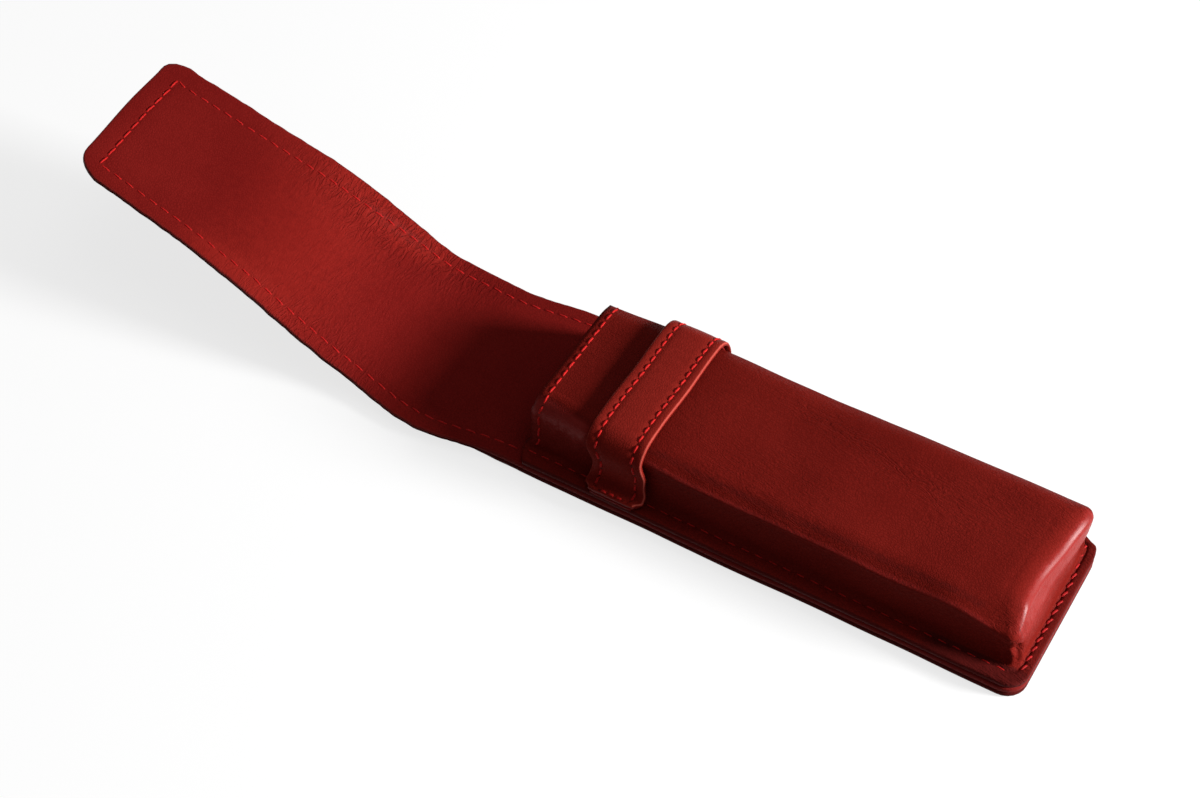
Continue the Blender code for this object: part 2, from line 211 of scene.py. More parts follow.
# Leather grain: small pebbles, pores, flex creases and a slow unevenness of dye
def build_grain_group():
    inputs = {"Pebble Scale": 1500.0, "Crease Scale": 130.0, "Crease Turn": 0.0, "Crease Depth": 1.6}
    tree, given, result = start_group("leather_grain", inputs, ("Height", "Dye", "Gloss", "Flexed"))
    place = object_place(tree)
    drift = add_node(tree, "ShaderNodeTexNoise", Vector=place, Scale=420.0, Detail=2.0)
    wobble = mix_colour(tree, 0.0012, place, drift.outputs["Color"], "ADD")
    pebbles = add_node(tree, "ShaderNodeTexVoronoi", feature="DISTANCE_TO_EDGE", Vector=wobble,
                       Scale=given["Pebble Scale"])
    furrow = ramp(tree, pebbles.outputs["Distance"], 0.0, 0.22)
    fine = noise_texture(tree, place, Scale=3800.0, Detail=3.0, Roughness=0.6)
    creases = noise_texture(tree, place, Scale=given["Crease Scale"], Detail=5.0, Roughness=0.62,
                            Distortion=0.6)
    slow = noise_texture(tree, place, Scale=34.0, Detail=4.0, Roughness=0.6)
    turn = add_node(tree, "ShaderNodeVectorRotate", rotation_type="Z_AXIS", Vector=place,
                    Angle=given["Crease Turn"])
    stretch = add_node(tree, "ShaderNodeMapping", Vector=turn.outputs["Vector"],
                       Scale=(820.0, 190.0, 420.0))
    ripple = noise_texture(tree, stretch.outputs["Vector"], Scale=1.0, Detail=4.0, Roughness=0.55,
                           Distortion=0.9)
    valley = math_node(tree, "ABSOLUTE", math_node(tree, "SUBTRACT", ripple, 0.5))
    flexed = mark(tree, "creased")
    wrinkle = times(tree, ramp(tree, valley, 0.0, 0.12), flexed)
    raised = plus(tree, times(tree, furrow, 0.5), times(tree, fine, 0.35))
    folded = plus(tree, times(tree, creases, 0.9), times(tree, wrinkle, given["Crease Depth"]))
    feed_all(tree, result, {
        "Height": plus(tree, raised, folded),
        "Dye": plus(tree, times(tree, slow, 0.75), times(tree, furrow, 0.25)),
        "Gloss": plus(tree, times(tree, creases, 0.5), times(tree, furrow, 0.35)),
        "Flexed": ramp(tree, flexed, 1.35, 2.3)})
    return tree


# Edge and scuff marks with painted light: the mesh marks cut edges and painted shade, scuffed places and
# painted highlight and sheen, broken up by noise
def build_wear_group():
    tree, given, result = start_group("leather_wear", {"Break Up": 0.5}, ("Edge", "Scuff_And_Sheen"))
    patches = noise_texture(tree, object_place(tree), Scale=620.0, Detail=5.0, Roughness=0.7)
    shift = times(tree, math_node(tree, "SUBTRACT", patches, 0.5), given["Break Up"])
    for label in ("Edge", "Scuff_And_Sheen"):
        level = plus(tree, mark(tree, label.lower()), shift)
        feed(tree, result.inputs[label], ramp(tree, level, 0.3, 0.85))
    return tree


def make_leather(name, deep, bright, edge, scuff_and_sheen, roughness=0.56, depth=0.05 * MM, pebbles=1500.0,
                 turn=0.0, creases=1.6, coat=0.18):
    """Dye runs from deep to bright. The scuff_and_sheen colour lightens scuffed places and paints highlight
    and sheen; coat is the gloss of its strongest places.
    """
    material, tree, shader = start_material(name)
    grain = add_node(tree, "ShaderNodeGroup", node_tree=GRAIN)
    feed_all(tree, grain, {"Pebble Scale": pebbles, "Crease Turn": turn, "Crease Depth": creases})
    marks_and_light = add_node(tree, "ShaderNodeGroup", node_tree=MARKS_AND_LIGHT).outputs
    colour = mix_colour(tree, ramp(tree, grain.outputs["Dye"], 0.3, 0.85), deep, bright)
    # Scuffed places, painted highlights and painted sheen lighten toward the scuff_and_sheen colour
    colour = mix_colour(tree, times(tree, marks_and_light["Scuff_And_Sheen"], 0.6), colour, scuff_and_sheen)
    smoother = plus(tree, times(tree, grain.outputs["Gloss"], 0.2), times(tree, marks_and_light["Scuff_And_Sheen"], 0.12))
    rough = math_node(tree, "SUBTRACT", roughness, smoother)
    polished = times(tree, ramp(tree, marks_and_light["Scuff_And_Sheen"], 0.56, 1.0), coat)
    bump = add_node(tree, "ShaderNodeBump", Strength=1.0, Distance=depth, Height=grain.outputs["Height"])
    # The edge colour goes on cut edges and on the painted shade the edge mark carries; for the strap it is
    # also a painted highlight
    feed_all(tree, shader, {
        "Base Color": mix_colour(tree, marks_and_light["Edge"], colour, edge),
        "Roughness": plus(tree, rough, times(tree, marks_and_light["Edge"], 0.04)),
        "Coat Weight": plus(tree, polished, times(tree, grain.outputs["Flexed"], 0.24)),
        "Coat Roughness": 0.29,
        "Normal": bump.outputs["Normal"],
        "Specular IOR Level": 0.035,
        "Specular Tint": (1.0, 0.32, 0.28, 1)})
    return material


def start_fibres(name, scale, detail, strength, depth):
    """A material with fine fibres raised on it, and the pattern of these fibres."""
    material, tree, shader = start_material(name)
    fibres = noise_texture(tree, object_place(tree), Scale=scale, Detail=detail, Roughness=0.7)
    bump = add_node(tree, "ShaderNodeBump", Strength=strength, Distance=depth, Height=fibres)
    feed(tree, shader.inputs["Normal"], bump.outputs["Normal"])
    return material, tree, shader, fibres


def make_thread_material(name, colour, shade):
    material, tree, shader, ply = start_fibres(name, 2600.0, 3.0, 1.0, 0.06 * MM)
    feed_all(tree, shader, {
        "Base Color": mix_colour(tree, ramp(tree, ply, 0.3, 0.7), shade, colour),
        "Roughness": 0.55,
        "Specular IOR Level": 0.2,
        "Specular Tint": (1.0, 0.35, 0.3, 1)})
    return material


def make_board_material(name):
    material, tree, shader, pulp = start_fibres(name, 900.0, 6.0, 0.6, 0.04 * MM)
    feed_all(tree, shader, {
        "Base Color": mix_colour(tree, pulp, (0.30, 0.25, 0.20, 1), (0.5, 0.44, 0.36, 1)),
        "Roughness": 0.92})
    return material


# Numbers along a line
def spread(start, end, count):
    return [start + (end - start) * step / count for step in range(count + 1)]


def smooth_step(value, low, high):
    share = min(max((value - low) / (high - low), 0), 1)
    return share * share * (3 - 2 * share)


def step_mm(value, low, high, line=0.0):
    """Rises from 0 to 1 between two distances in millimetres past a line."""
    return smooth_step(value, line + low * MM, line + high * MM)


def bump_at(value, centre, width):
    share = (value - centre) / width
    return exp(-share * share)


def hump_mm(value, centre, width):
    return bump_at(value, centre * MM, width * MM)


def along_table(table, place, eased=False):
    """Reads a table of (place, value) at a place between its rows."""
    for (x0, v0), (x1, v1) in zip(table, table[1:]):
        if place <= x1:
            break
    if eased:
        return v0 + (v1 - v0) * smooth_step(place, x0, x1)
    return v0 + (v1 - v0) * (place - x0) / (x1 - x0)


def arc(x, y, radius, start, end, steps):
    """Points of an arc about a centre, as (x, y, cosine, sine)."""
    turns = [(cos(angle), sin(angle)) for angle in map(radians, spread(start, end, steps))]
    return [(x + radius * across, y + radius * up, across, up) for across, up in turns]


def uneven(x, y, z, scale, seed):
    return noise.noise(Vector((x * scale + seed, y * scale, z * scale - seed)))


# Mesh helpers
class Body:
    """The points and faces of one piece, with each point's marks: cut edge and painted shade, scuffing and
    painted sheen, and creasing.
    """

    def __init__(self):
        self.points, self.marks, self.faces, self.slots, self.smooth = [], [], [], [], []

    def add(self, point, edge=0.0, scuff_and_sheen=0.0, creased=0.0):
        self.points.append(point)
        self.marks.append([edge, scuff_and_sheen, creased])
        return len(self.points) - 1

    def face(self, corners, slot=0, smooth=True):
        kept = [corner for index, corner in enumerate(corners) if corner != corners[index - 1]]
        if len(kept) > 2:
            self.faces.append(tuple(kept))
            self.slots.append(slot)
            self.smooth.append(smooth)

    def strips(self, loops, closed=False, slot=0):
        for first, second in zip(loops, loops[1:]):
            for index in range(len(first) if closed else len(first) - 1):
                after = (index + 1) % len(first)
                self.face((first[index], first[after], second[after], second[index]), slot)

    def tube(self, loops, slot=0):
        self.strips(loops, True, slot)
        self.face(loops[0], slot)
        self.face(loops[-1], slot)

    def cap(self, loop, along, across, inside):
        """Fills a loop that goes along one side, across the end and back, and returns its open row."""
        rows = [[loop[i]] + inside(i) + [loop[-1 - i]] for i in range(along)]
        self.strips(rows + [loop[along:along + across + 1]])
        return rows[0]

    def make(self, name, materials):
        mesh = bpy.data.meshes.new(name)
        mesh.from_pydata([tuple(point) for point in self.points], [], self.faces)
        mesh.polygons.foreach_set("material_index", self.slots)
        mesh.polygons.foreach_set("use_smooth", self.smooth)
        for label, values in zip(("edge", "scuff_and_sheen", "creased"), zip(*self.marks)):
            mesh.attributes.new(label, "FLOAT", "POINT").data.foreach_set("value", values)
        for material in materials:
            mesh.materials.append(material)
        mesh.update()
        for flat in (polygon for polygon in mesh.polygons if not polygon.use_smooth):
            for loop in flat.loop_indices:
                mesh.edges[mesh.loops[loop].edge_index].use_edge_sharp = True
        shell = bmesh.new()
        shell.from_mesh(mesh)
        bmesh.ops.recalc_face_normals(shell, faces=shell.faces)
        shell.to_mesh(mesh)
        shell.free()
        return add_object(name, mesh)


def ride_as(item, body, slot, *nodes):
    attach(item, body)
    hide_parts(*nodes)


def join(item, part, nodes):
    """Bakes a piece's placement into its mesh and hides the frame's nodes it stands for."""
    if part == "case":
        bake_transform(item)
    else:
        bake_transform(item)
    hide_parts(*nodes)


# The flap's curve, as (flat distance toward the tip in millimetres, slope in degrees)
FLAP_SLOPES = ((74, 0), (80, 3), (86, 11), (92, 18), (98, 22), (108, 24.5), (117, 26), (124, 22.6),
               (132, 18.2), (142, 17), (156, 16.3), (182, 15.5))
FLAP_START = -FLAP_SLOPES[0][0] * MM
TRACE_STEP = 0.5 * MM


def slope_at(x):
    """How steeply the flap rises at a flat distance in millimetres, in radians."""
    return radians(along_table(FLAP_SLOPES, -x)) if -x > FLAP_SLOPES[0][0] else 0.0


def trace_flap():
    """Steps (flat distance, x, z, slope) along the flap's upper face."""
    steps = [(FLAP_START, FLAP_START, BACK_TOP, 0.0)]
    while steps[-1][0] > TIP - 2 * MM:
        flat, x, z, _ = steps[-1]
        slope = slope_at((flat - TRACE_STEP / 2) / MM)
        steps.append((flat - TRACE_STEP, x - TRACE_STEP * cos(slope),
                      z + TRACE_STEP * sin(slope), slope_at((flat - TRACE_STEP) / MM)))
    return steps


FLAP_TRACE = trace_flap()


def bend(point):
    """Carries a point of the flat pattern, z up from the underside, onto the bent flap."""
    x, y, z = point
    if x >= FLAP_START:
        return Vector(point)
    span = FLAP_TRACE[0][0] - FLAP_TRACE[1][0]
    place = min((FLAP_START - x) / span, len(FLAP_TRACE) - 1.001)
    index = int(place)
    low, high = FLAP_TRACE[index], FLAP_TRACE[index + 1]
    x0, z0, slope = (low[k] + (high[k] - low[k]) * (place - index) for k in (1, 2, 3))
    depth = z - BACK_TOP
    return Vector((x0 + depth * sin(slope), y, z0 + depth * cos(slope)))


# How far the tongue has narrowed, as (share of its length, share of its narrowing)
TONGUE_TAPER = ((0, 0), (0.14, 0.29), (0.30, 0.50), (0.46, 0.67), (0.62, 0.81), (0.80, 0.93), (1, 1))


def flap_half_width(x):
    if x >= FOLD_LOWER.x:
        return BACK_EDGE
    if x >= BRIDGE_END:
        return BACK_EDGE - BRIDGE_NARROWING * (FOLD_LOWER.x - x) / BRIDGE_LENGTH
    place = (BRIDGE_END - x) / TONGUE_LENGTH
    wide = BACK_EDGE - BRIDGE_NARROWING
    return wide + (TIP_HALF - wide) * (along_table(TONGUE_TAPER, place) if place <= 1.0 else 1.0)


# Flat panels: a border of nodes, rings inset from it, and a grid inside
def panel_border(cut, end, corner, along, across, corner_steps):
    """Nodes (x, y, inward x, inward y, corner) from the cut along the near side, round the end and back."""
    way = 1 if end > cut else -1
    straight_end = end - way * corner
    nodes = [(x, -flap_half_width(x), 0.0, 1.0, None) for x in spread(cut, straight_end, along)]
    half = abs(nodes[-1][1])
    centre = (straight_end, -half + corner)
    for angle in map(radians, spread(0, 90, 2 * corner_steps)[1:]):
        ax, ay = way * sin(angle), -cos(angle)
        nodes.append((centre[0] + corner * ax, centre[1] + corner * ay, -ax, -ay, centre))
    inner = half - corner
    nodes += [(end, y, -way * 1.0, 0.0, None) for y in spread(-inner, inner, across)[1:-1]]
    for x, y, nx, ny, spot in nodes[along + 2 * corner_steps::-1]:
        nodes.append((x, -y, nx, -ny, spot and (spot[0], -spot[1])))
    return nodes, along + corner_steps, across + 2 * corner_steps


def inset_node(node, inset, corner):
    x, y, nx, ny, spot = node
    if spot:
        inset = min(inset, corner * 0.93)
    return x + nx * inset, y + ny * inset


def panel(name, border, corner, top_rings, bottom_rings, scuffed_and_lit, material):
    """Rings are (inset, height, edge, scuff_and_sheen), from the cut edge inward."""
    nodes, along, across = border
    body = Body()

    def add(x, y, ring):
        _, height, edge, scuff_and_sheen = ring
        # The lining's open face takes the flap's scuffing, painted light and painted sheen
        if scuffed_and_lit:
            scuff_and_sheen = max(scuff_and_sheen, flap_scuffs_and_shine(x, y))
        return body.add(shape_panel(x, y, height), edge, scuff_and_sheen, flap_creasing(x, y))

    loops = [[add(*inset_node(node, ring[0], corner), ring) for node in nodes]
             for ring in top_rings + bottom_rings]
    order = loops[:len(top_rings)][::-1] + loops[len(top_rings):]
    body.strips(order)
    caps = []
    for loop, ring in ((order[0], top_rings[-1]), (order[-1], bottom_rings[-1])):
        flat = [inset_node(node, ring[0], corner) for node in nodes]
        low, high = flat[along][1], flat[along + across][1]
        shares = [(y - low) / (high - low) for _, y in flat[along + 1:along + across]]

        def inside(i):
            (x0, y0), (x1, y1) = flat[i], flat[-1 - i]
            return [add(x0 + (x1 - x0) * share, y0 + (y1 - y0) * share, ring) for share in shares]

        caps.append(body.cap(loop, along, across, inside))
    near_side, far_side = ([loop[end] for loop in order[1:-1]] for end in (0, -1))
    body.face(caps[0] + far_side + caps[1][::-1] + near_side[::-1], smooth=False)
    return body.make(name, [material])


# Moulded shells: rings on three sides of the box and a grid over the top
def shell_ring(half, height, mouth, path_steps):
    """Points of one ring, from the mouth along the near wall, across the end and back."""
    along, corner_steps, across = path_steps
    beyond = max(half - BOX_HALF, 0) / (BACK_EDGE - BOX_HALF)
    inner = min(half - BOX_HALF, 0)
    end = BOX_END + inner + (BACK_END - BOX_END) * beyond
    corner = max(BOX_CORNER + 0.5 * inner + (BACK_CORNER - BOX_CORNER) * beyond, 1.2 * MM)
    near = []
    for step in range(along):
        share = 1 - (1 - step / along) ** 1.25
        near.append((mouth + (end - corner - mouth) * share, -half))
    near += [spot[:2] for spot in arc(end - corner, -half + corner, corner, -90, 0, corner_steps)]
    inside = half - corner
    middle = [(end, y) for y in spread(-inside, inside, across)[1:-1]]
    ring = near + middle + [(x, -y) for x, y in reversed(near)]
    return [Vector((x, y, height)) for x, y in ring]


def moulded_shell(name, outer, inner, mouth_shift, path_steps, material):
    """Outer and inner are rows (half width, height, edge, scuff_and_sheen), from the rim up to the top."""
    body = Body()
    along, corner_steps, across = path_steps
    side = along + corner_steps // 2
    width = across + corner_steps

    def flat_ring(row):
        return shell_ring(row[0], row[1], front_mouth(row[0], row[1]) + mouth_shift, path_steps)

    # The edge mark here also carries painted shade, and the scuff mark painted highlight, sheen and light
    rings = [[[body.add(shape_front(point), max(row[2], painted_shade(point)), scuff_and_highlight(point, row[3]),
                        front_creasing(point)) for point in flat_ring(row)]
              for row in rows] for rows in (outer, inner)]
    tops = []
    for group, row in zip(rings, (outer[-1], inner[-1])):
        body.strips(group)
        flat = flat_ring(row)
        low, high = flat[side].y, flat[side + width].y
        shares = [(point.y - low) / (high - low) for point in flat[side + 1:side + width]]

        def inside(i):
            points = [flat[i].lerp(flat[-1 - i], share) for share in shares]
            return [body.add(shape_front(point), row[2], row[3], front_creasing(point)) for point in points]

        tops.append(body.cap(group[-1], side, width, inside))
    body.strips((rings[0][0], rings[1][0]))
    spare = len(rings[0]) - len(rings[1])
    lips = [[loop[0] for loop in group] + top[1:-1] + [loop[-1] for loop in reversed(group)]
            for group, top in zip((rings[0][spare:], rings[1]), tops)]
    middle = []
    for first, second in zip(*lips):
        spot = (body.points[first] + body.points[second]) / 2 + Vector((-0.22 * MM, 0, 0))
        middle.append(body.add(spot, 1.0, 0.4))
    body.strips((lips[0], middle, lips[1]))
    for end in (0, -1):
        flange = [loop[end] for loop in rings[0][:spare + 1]]
        body.face(flange + [middle[end], rings[1][0][end]])
    for corner in lips[0] + lips[1]:
        body.marks[corner][0] = max(body.marks[corner][0], 0.55)
    return body.make(name, [material])


# Bands and strips: one cross-section loop carried along a path
def loft(name, loops, material, marks, scuffed_and_lit=None):
    """Marks are (edge, scuff_and_sheen) round the loop. The list scuffed_and_lit gives each loop's own
    least scuff_and_sheen mark.
    """
    body = Body()
    rings = []
    for loop, least in zip(loops, scuffed_and_lit or [0.0] * len(loops)):
        rings.append([body.add(point, edge, max(scuff_and_sheen, least))
                      for point, (edge, scuff_and_sheen) in zip(loop, marks)])
    body.tube(rings)
    return body.make(name, [material])


# Stitches: separate short threads that dip into the leather at both ends
STRAP_THREAD = dict(pitch=2.75, radius=0.35, lift=0.4, slant=0.14, cover=0.86, hole=0.24)
TACK_THREAD = dict(pitch=2.4, radius=0.32, lift=0.5, slant=0, cover=0.75)
END_THREAD = dict(pitch=2.9, radius=0.4, lift=0.3, slant=0.4, cover=0.82, hole=0.4)
MOUTH_THREAD = dict(pitch=2.9, radius=0.33)
SUNK_THREAD = dict(radius=0.235, lift=0.12, cover=0.84)
FLANGE_THREAD = dict(radius=0.2, lift=0, cover=0.74, hole=0.32)
TIP_THREAD = dict(lift=0.4, cover=1.0, hole=0.12)
THREAD_SPREADS = (-1.0, -0.88, -0.7, -0.35, 0.0, 0.35, 0.7, 0.88, 1.0)
THREAD_SIDES = 6
HOLE_SIDES = 8


def resample(path, pitch):
    """Stations (place, up) half a pitch apart along a path of (place, up)."""
    lengths = [0.0]
    for (a, _), (b, _) in zip(path, path[1:]):
        lengths.append(lengths[-1] + (b - a).length)
    count = 2 * max(int(round(lengths[-1] / pitch)), 1)
    stations = []
    index = 0
    for step in range(count + 1):
        target = lengths[-1] * step / count
        while index < len(path) - 2 and lengths[index + 1] < target:
            index += 1
        share = (target - lengths[index]) / (lengths[index + 1] - lengths[index])
        (place, up), (next_place, next_up) = path[index:index + 2]
        stations.append((place.lerp(next_place, share), up.lerp(next_up, share).normalized()))
    return stations


def sew(body, path, pitch=3.5, radius=0.3, lift=0.25, slant=0.08, cover=0.94, hole=0.3):
    """Pitch and radii are in millimetres, lift is a share of the radius, cover of the pitch."""
    radius *= MM
    stations = resample(path, pitch * MM)
    ends, middles = stations[::2], stations[1::2]
    for number, ((start, up0), (crown, _), (end, up1)) in enumerate(zip(ends, middles, ends[1:])):
        up = (up0 + up1).normalized()
        centre = (start + end) / 2
        arch = crown - centre
        across = (end - start).normalized().cross(up)
        sway = uneven(centre.x, centre.y, centre.z, 900, number * 0.37)
        half = (end - start) * cover / 2
        tilt = across * (slant + 0.12 * sway) * half.length
        loops = []
        for ring, share in enumerate(THREAD_SPREADS):
            rise = radius * (lift + 0.12 * sway) - radius * 2.4 * abs(share) ** 6
            place = centre + half * share + tilt * share + up * rise + arch * (1 - share * share)
            thick = radius * (1 - 0.28 * abs(share) ** 3)
            turns = [tau * corner / THREAD_SIDES + 0.5 * ring for corner in range(THREAD_SIDES)]
            loops.append([body.add(place + across * thick * cos(turn) + up * thick * 0.82 * sin(turn))
                          for turn in turns])
        body.tube(loops)
    needle_holes(body, ends, hole * MM)


def needle_holes(body, stations, radius):
    for place, up in stations:
        along = Vector((1, 0, 0)) if abs(up.x) < 0.7 else UP
        across = along.cross(up).normalized()
        along = up.cross(across)
        loops = []
        for height, size in ((-0.5, 0.3), (-0.3, 0.95), (-0.08, 0.85), (-0.2, 0.3)):
            turns = [tau * corner / HOLE_SIDES for corner in range(HOLE_SIDES)]
            loops.append([body.add(place + up * radius * height
                                   + (along * cos(turn) + across * sin(turn)) * radius * size)
                          for turn in turns])
        body.tube(loops, 1)


def stitch_case(name, node, paths, thread, materials=None):
    """A row of stitches that doesn't reach the flap."""
    body = Body()
    for path in paths:
        sew(body, path, **thread)
    ride_as(body.make(name, materials or THREADS), "case", "sewing_thread", node)


# Back panel and flap
def wavy(x, y):
    """An uneven cut edge: the moved y, and how far the edge lifts."""
    edge_share = smooth_step(abs(y), 0.6 * flap_half_width(x), flap_half_width(x))
    shift = uneven(x, y, 0, 60, 3.1) * 0.3 * MM
    lift = uneven(x, y, 0, 55, 7.7) * 0.22 * MM * edge_share
    side = copysign(1, y) if abs(y) > 1 * MM else 0
    return y + side * shift * edge_share, lift


def past_tip_corner(x, y):
    """How far a point is past the start of the tip's rounded corner, both ways."""
    return TIP + TIP_CORNER - x, y - (TIP_HALF - TIP_CORNER)


def edge_distance(x, y):
    """How far a point of the flat pattern lies inside the flap's cut edge."""
    past, beside = past_tip_corner(x, abs(y))
    if past > 0 and beside > 0:
        return TIP_CORNER - hypot(past, beside)
    return min(flap_half_width(x) - abs(y), x - TIP)


def shape_panel(x, y, z):
    """The flap's edges are pared thin, and it drifts a little to the near side."""
    margin = edge_distance(x, y)
    pared = step_mm(-x, 50, 60) * (1 - step_mm(margin, 0, 5))
    z = BACK_TOP - (BACK_TOP - z) * (1 - 0.55 * pared)
    outer = (1 - step_mm(margin, 0, 3.6)) * step_mm(abs(y), 6, 15)
    drawn_in = smooth_step(x, TIP, TIP + SEAM_INSET) * (1 - step_mm(x, 6, 22, TIP))
    # The far corner of the tip is tighter than the near one
    past, beside = past_tip_corner(x, y)
    if past > 0 and beside > 0:
        radial = hypot(past, beside)
        push = 1.3 * MM * (radial / TIP_CORNER) ** 2 * (2 * past * beside / radial ** 2) ** 2 / radial
        x, y = x - push * past, y + push * beside
    x += 1.3 * MM * step_mm(-y, -8, 18) * smooth_step(-x, 160 * MM, -TIP) + 1.6 * MM * drawn_in
    y -= 1.8 * MM * hump_mm(x, -93, 13) * step_mm(y, 6, 22)
    y += step_mm(-x, 92, 122) * ((1.9 if y > 0 else -0.4) * outer - 1.3) * MM
    y += pared * outer * copysign(uneven(x, y, 0, 310, 2.9) * 0.35 * MM, y)
    y, lift = wavy(x, y)
    x, y = far_corner(x, y)
    near_root = hump_mm(x, -70, 11) * smooth_step(-y, 8 * MM, BACK_EDGE)
    y -= (1.9 * hump_mm(x, -72, 13) + 0.7 * near_root) * MM
    return bend((x, y, z + (lift if x < MOUTH else 0)))


def flap_creasing(x, y):
    """Where the flap flexes it is finely wrinkled, most along its far edge."""
    row = bump_at(flap_half_width(x) - y, SEAM_INSET + 0.5 * MM, 2.6 * MM)
    return hump_mm(x, -107, 24) * (0.3 + 0.9 * step_mm(y, 4, 20) + 0.4 * step_mm(-y, 12, 22) + 0.9 * row)


def flap_scuffs_and_shine(x, y):
    """The flap's open face is lighter over its middle and where it folds: scuffing, with painted light and
    painted sheen.
    """
    middle = 0.62 * hump_mm(x, -122, 33)
    margin = 0.6 * hump_mm(x, -106, 16) * step_mm(y, 13, 20)
    near = 0.22 * hump_mm(x, -132, 14) * step_mm(-y, 14, 18)
    return middle + margin + near


# Rows from a cut edge inward, as (inset in millimetres, drop, edge, scuff_and_sheen). The first CUT_ROWS
# drop by millimetres, the others by shares of how deep the seam is pressed in
CUT_ROWS = 5
SLAB_FACE = ((0, 0.42, 1, 0), (0.14, 0.16, 1, 0.1), (0.42, 0.03, 0.45, 0.2), (0.9, 0, 0, 0.1),
             (1.8, -0.02, 0, 0), (2.8, 0, 0, 0), (3.3, 0.4, 0, 0), (3.7, 1, 0, 0),
             (4.1, 0.4, 0, 0), (4.6, 0, 0, 0))
FLANGE_FACE = ((0, 0.45, 1, 0), (0.14, 0.16, 1, 0.1), (0.42, 0.03, 0.4, 0.2), (0.9, 0, 0, 0.1),
               (2.0, 0, 0, 0), (2.8, 0.05, 0, 0), (3.3, 0.4, 0, 0), (3.7, 1, 0, 0))
PLAIN_FACE = ((0.02, -0.3, 1, 0), (0.3, 0, 0.5, 0))


def face_rows(face, seam_depth):
    """The rows of a face, as (inset, sink, edge, scuff_and_sheen) in metres."""
    return [(inset * MM, drop * (MM if index < CUT_ROWS else seam_depth), edge, scuff_and_sheen)
            for index, (inset, drop, edge, scuff_and_sheen) in enumerate(face)]


def slab_rings(top, bottom, seam_depth, outside_up):
    """Rings of one leather layer with rounded edges and the seam pressed in on its open face."""
    front, turn, back = (top, 1, bottom) if outside_up else (bottom, -1, top)
    rings = [(inset, front - turn * sink, edge, scuff_and_sheen)
             for inset, sink, edge, scuff_and_sheen in face_rows(SLAB_FACE, seam_depth)]
    plain = [(0.02 * MM, back + turn * 0.3 * MM, 1, 0), (0.3 * MM, back, 0.6, 0)]
    if outside_up:
        plain += [(4.4 * MM, back, 0, 0), (4.6 * MM, back + BOARD_ROOM, 0, 0)]
    return rings, plain


def build_panels():
    back = panel_border(BRIDGE_MIDDLE, BACK_END, BACK_CORNER, along=150, across=18, corner_steps=3)
    tongue = panel_border(BRIDGE_MIDDLE, TIP, TIP_CORNER, along=84, across=14, corner_steps=4)
    layers = (("lining", BACK_TOP, LAYER_SPLIT + LAYER_GAP, 0.16 * MM, True, LINING),
              ("outer", LAYER_SPLIT - LAYER_GAP, 0.0, 0.4 * MM, False, LEATHER))
    parts = (("case", back, BACK_CORNER, ("back_", "bridge_")),
             ("tongue", tongue, TIP_CORNER, ("tongue_",)))
    for layer, top, bottom, seam_depth, up, material in layers:
        rings, plain = slab_rings(top, bottom, seam_depth, up)
        for part, border, corner, nodes in parts:
            item = panel(part + "_" + layer + "_leather", border, corner, rings, plain, up, material)
            join(item, part, [node + layer for node in nodes])


def build_tongue_board():
    _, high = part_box("tongue_board")
    base = LAYER_SPLIT + 0.07 * MM
    start, end = BRIDGE_END - 4 * MM, TIP + 7 * MM
    loops = []
    for x in spread(start, end, 70):
        half = min(high.y, flap_half_width(x) - 5 * MM)
        under = [shape_panel(x, y, base) for y in spread(-half, half, 8)]
        loops.append(under + [shape_panel(x, y, base + BOARD_THICK) for y in spread(half, -half, 8)])
    item = loft("tongue_stiffener_board", loops, BOARD, [(0, 0)] * len(loops[0]))
    ride_as(item, "tongue", "stiffener_board", "tongue_board")


# Moulded front, as (height, how far the mouth reaches out) and (inset, drop) round the shoulder
MOUTH_CURVE = ((4.6, 0.6), (5.4, -0.1), (7.0, -1), (10.0, -0.4), (14.0, 0.5), (17.0, 0), (30.0, 0))
SHOULDER_CURVE = ((0.3, 4.6), (0.14, 3.3), (0.02, 2.5), (0, 2.0), (0.1, 1.62), (0.34, 1.34), (0.8, 1.1),
                  (1.5, 0.82), (2.4, 0.5), (3.4, 0.22), (4.5, 0.05), (5.8, 0))
# The shoulder seen from a point inside the box, as (angle, distance in millimetres)
ROLL_IN, ROLL_DOWN = 8, 7
SHOULDER_ROLL = [(atan2(ROLL_DOWN - drop, ROLL_IN - inset), hypot(ROLL_IN - inset, ROLL_DOWN - drop))
                 for inset, drop in ((0, 7), (0, 5.6)) + SHOULDER_CURVE + ((8, 0),)]
ROLL_POWER = 3.4


def front_mouth(half, height):
    beyond = max(half - BOX_HALF, 0) / (BACK_EDGE - BOX_HALF)
    reach = along_table(MOUTH_CURVE, max(height / MM, MOUTH_CURVE[0][0]), eased=True)
    return MOUTH - reach * MM + 2.2 * MM * beyond ** 1.5


def soften(inset, z, share):
    """Rolls a square shoulder of the box into a soft round. Inset is counted in from the wall's face."""
    ahead, above = ROLL_IN * MM - inset, ROLL_DOWN * MM - (BOX_TOP - z)
    if ahead <= 0 or above <= 0:
        return inset, z
    angle = atan2(above, ahead)
    crisp = along_table(SHOULDER_ROLL, angle)
    soft = ((cos(angle) / 7.9) ** ROLL_POWER + (sin(angle) / 7.0) ** ROLL_POWER) ** (-1 / ROLL_POWER)
    near_skin = smooth_step(hypot(ahead, above) / (crisp * MM), 0.2, 0.75)
    move = (soft - crisp) * MM * near_skin * share
    return inset - move * cos(angle), z + move * sin(angle)


def far_corner(x, y):
    """The flange is narrower at the far corner of the closed end."""
    share = smooth_step(x, 64 * MM, BACK_END) * smooth_step(y, BOX_HALF - 0.4 * MM, BACK_EDGE)
    rounding = smooth_step(x, 74 * MM, BACK_END) * smooth_step(y, 17 * MM, BACK_EDGE - 2 * MM)
    return x - 1.1 * MM * rounding, y - 2.8 * MM * share


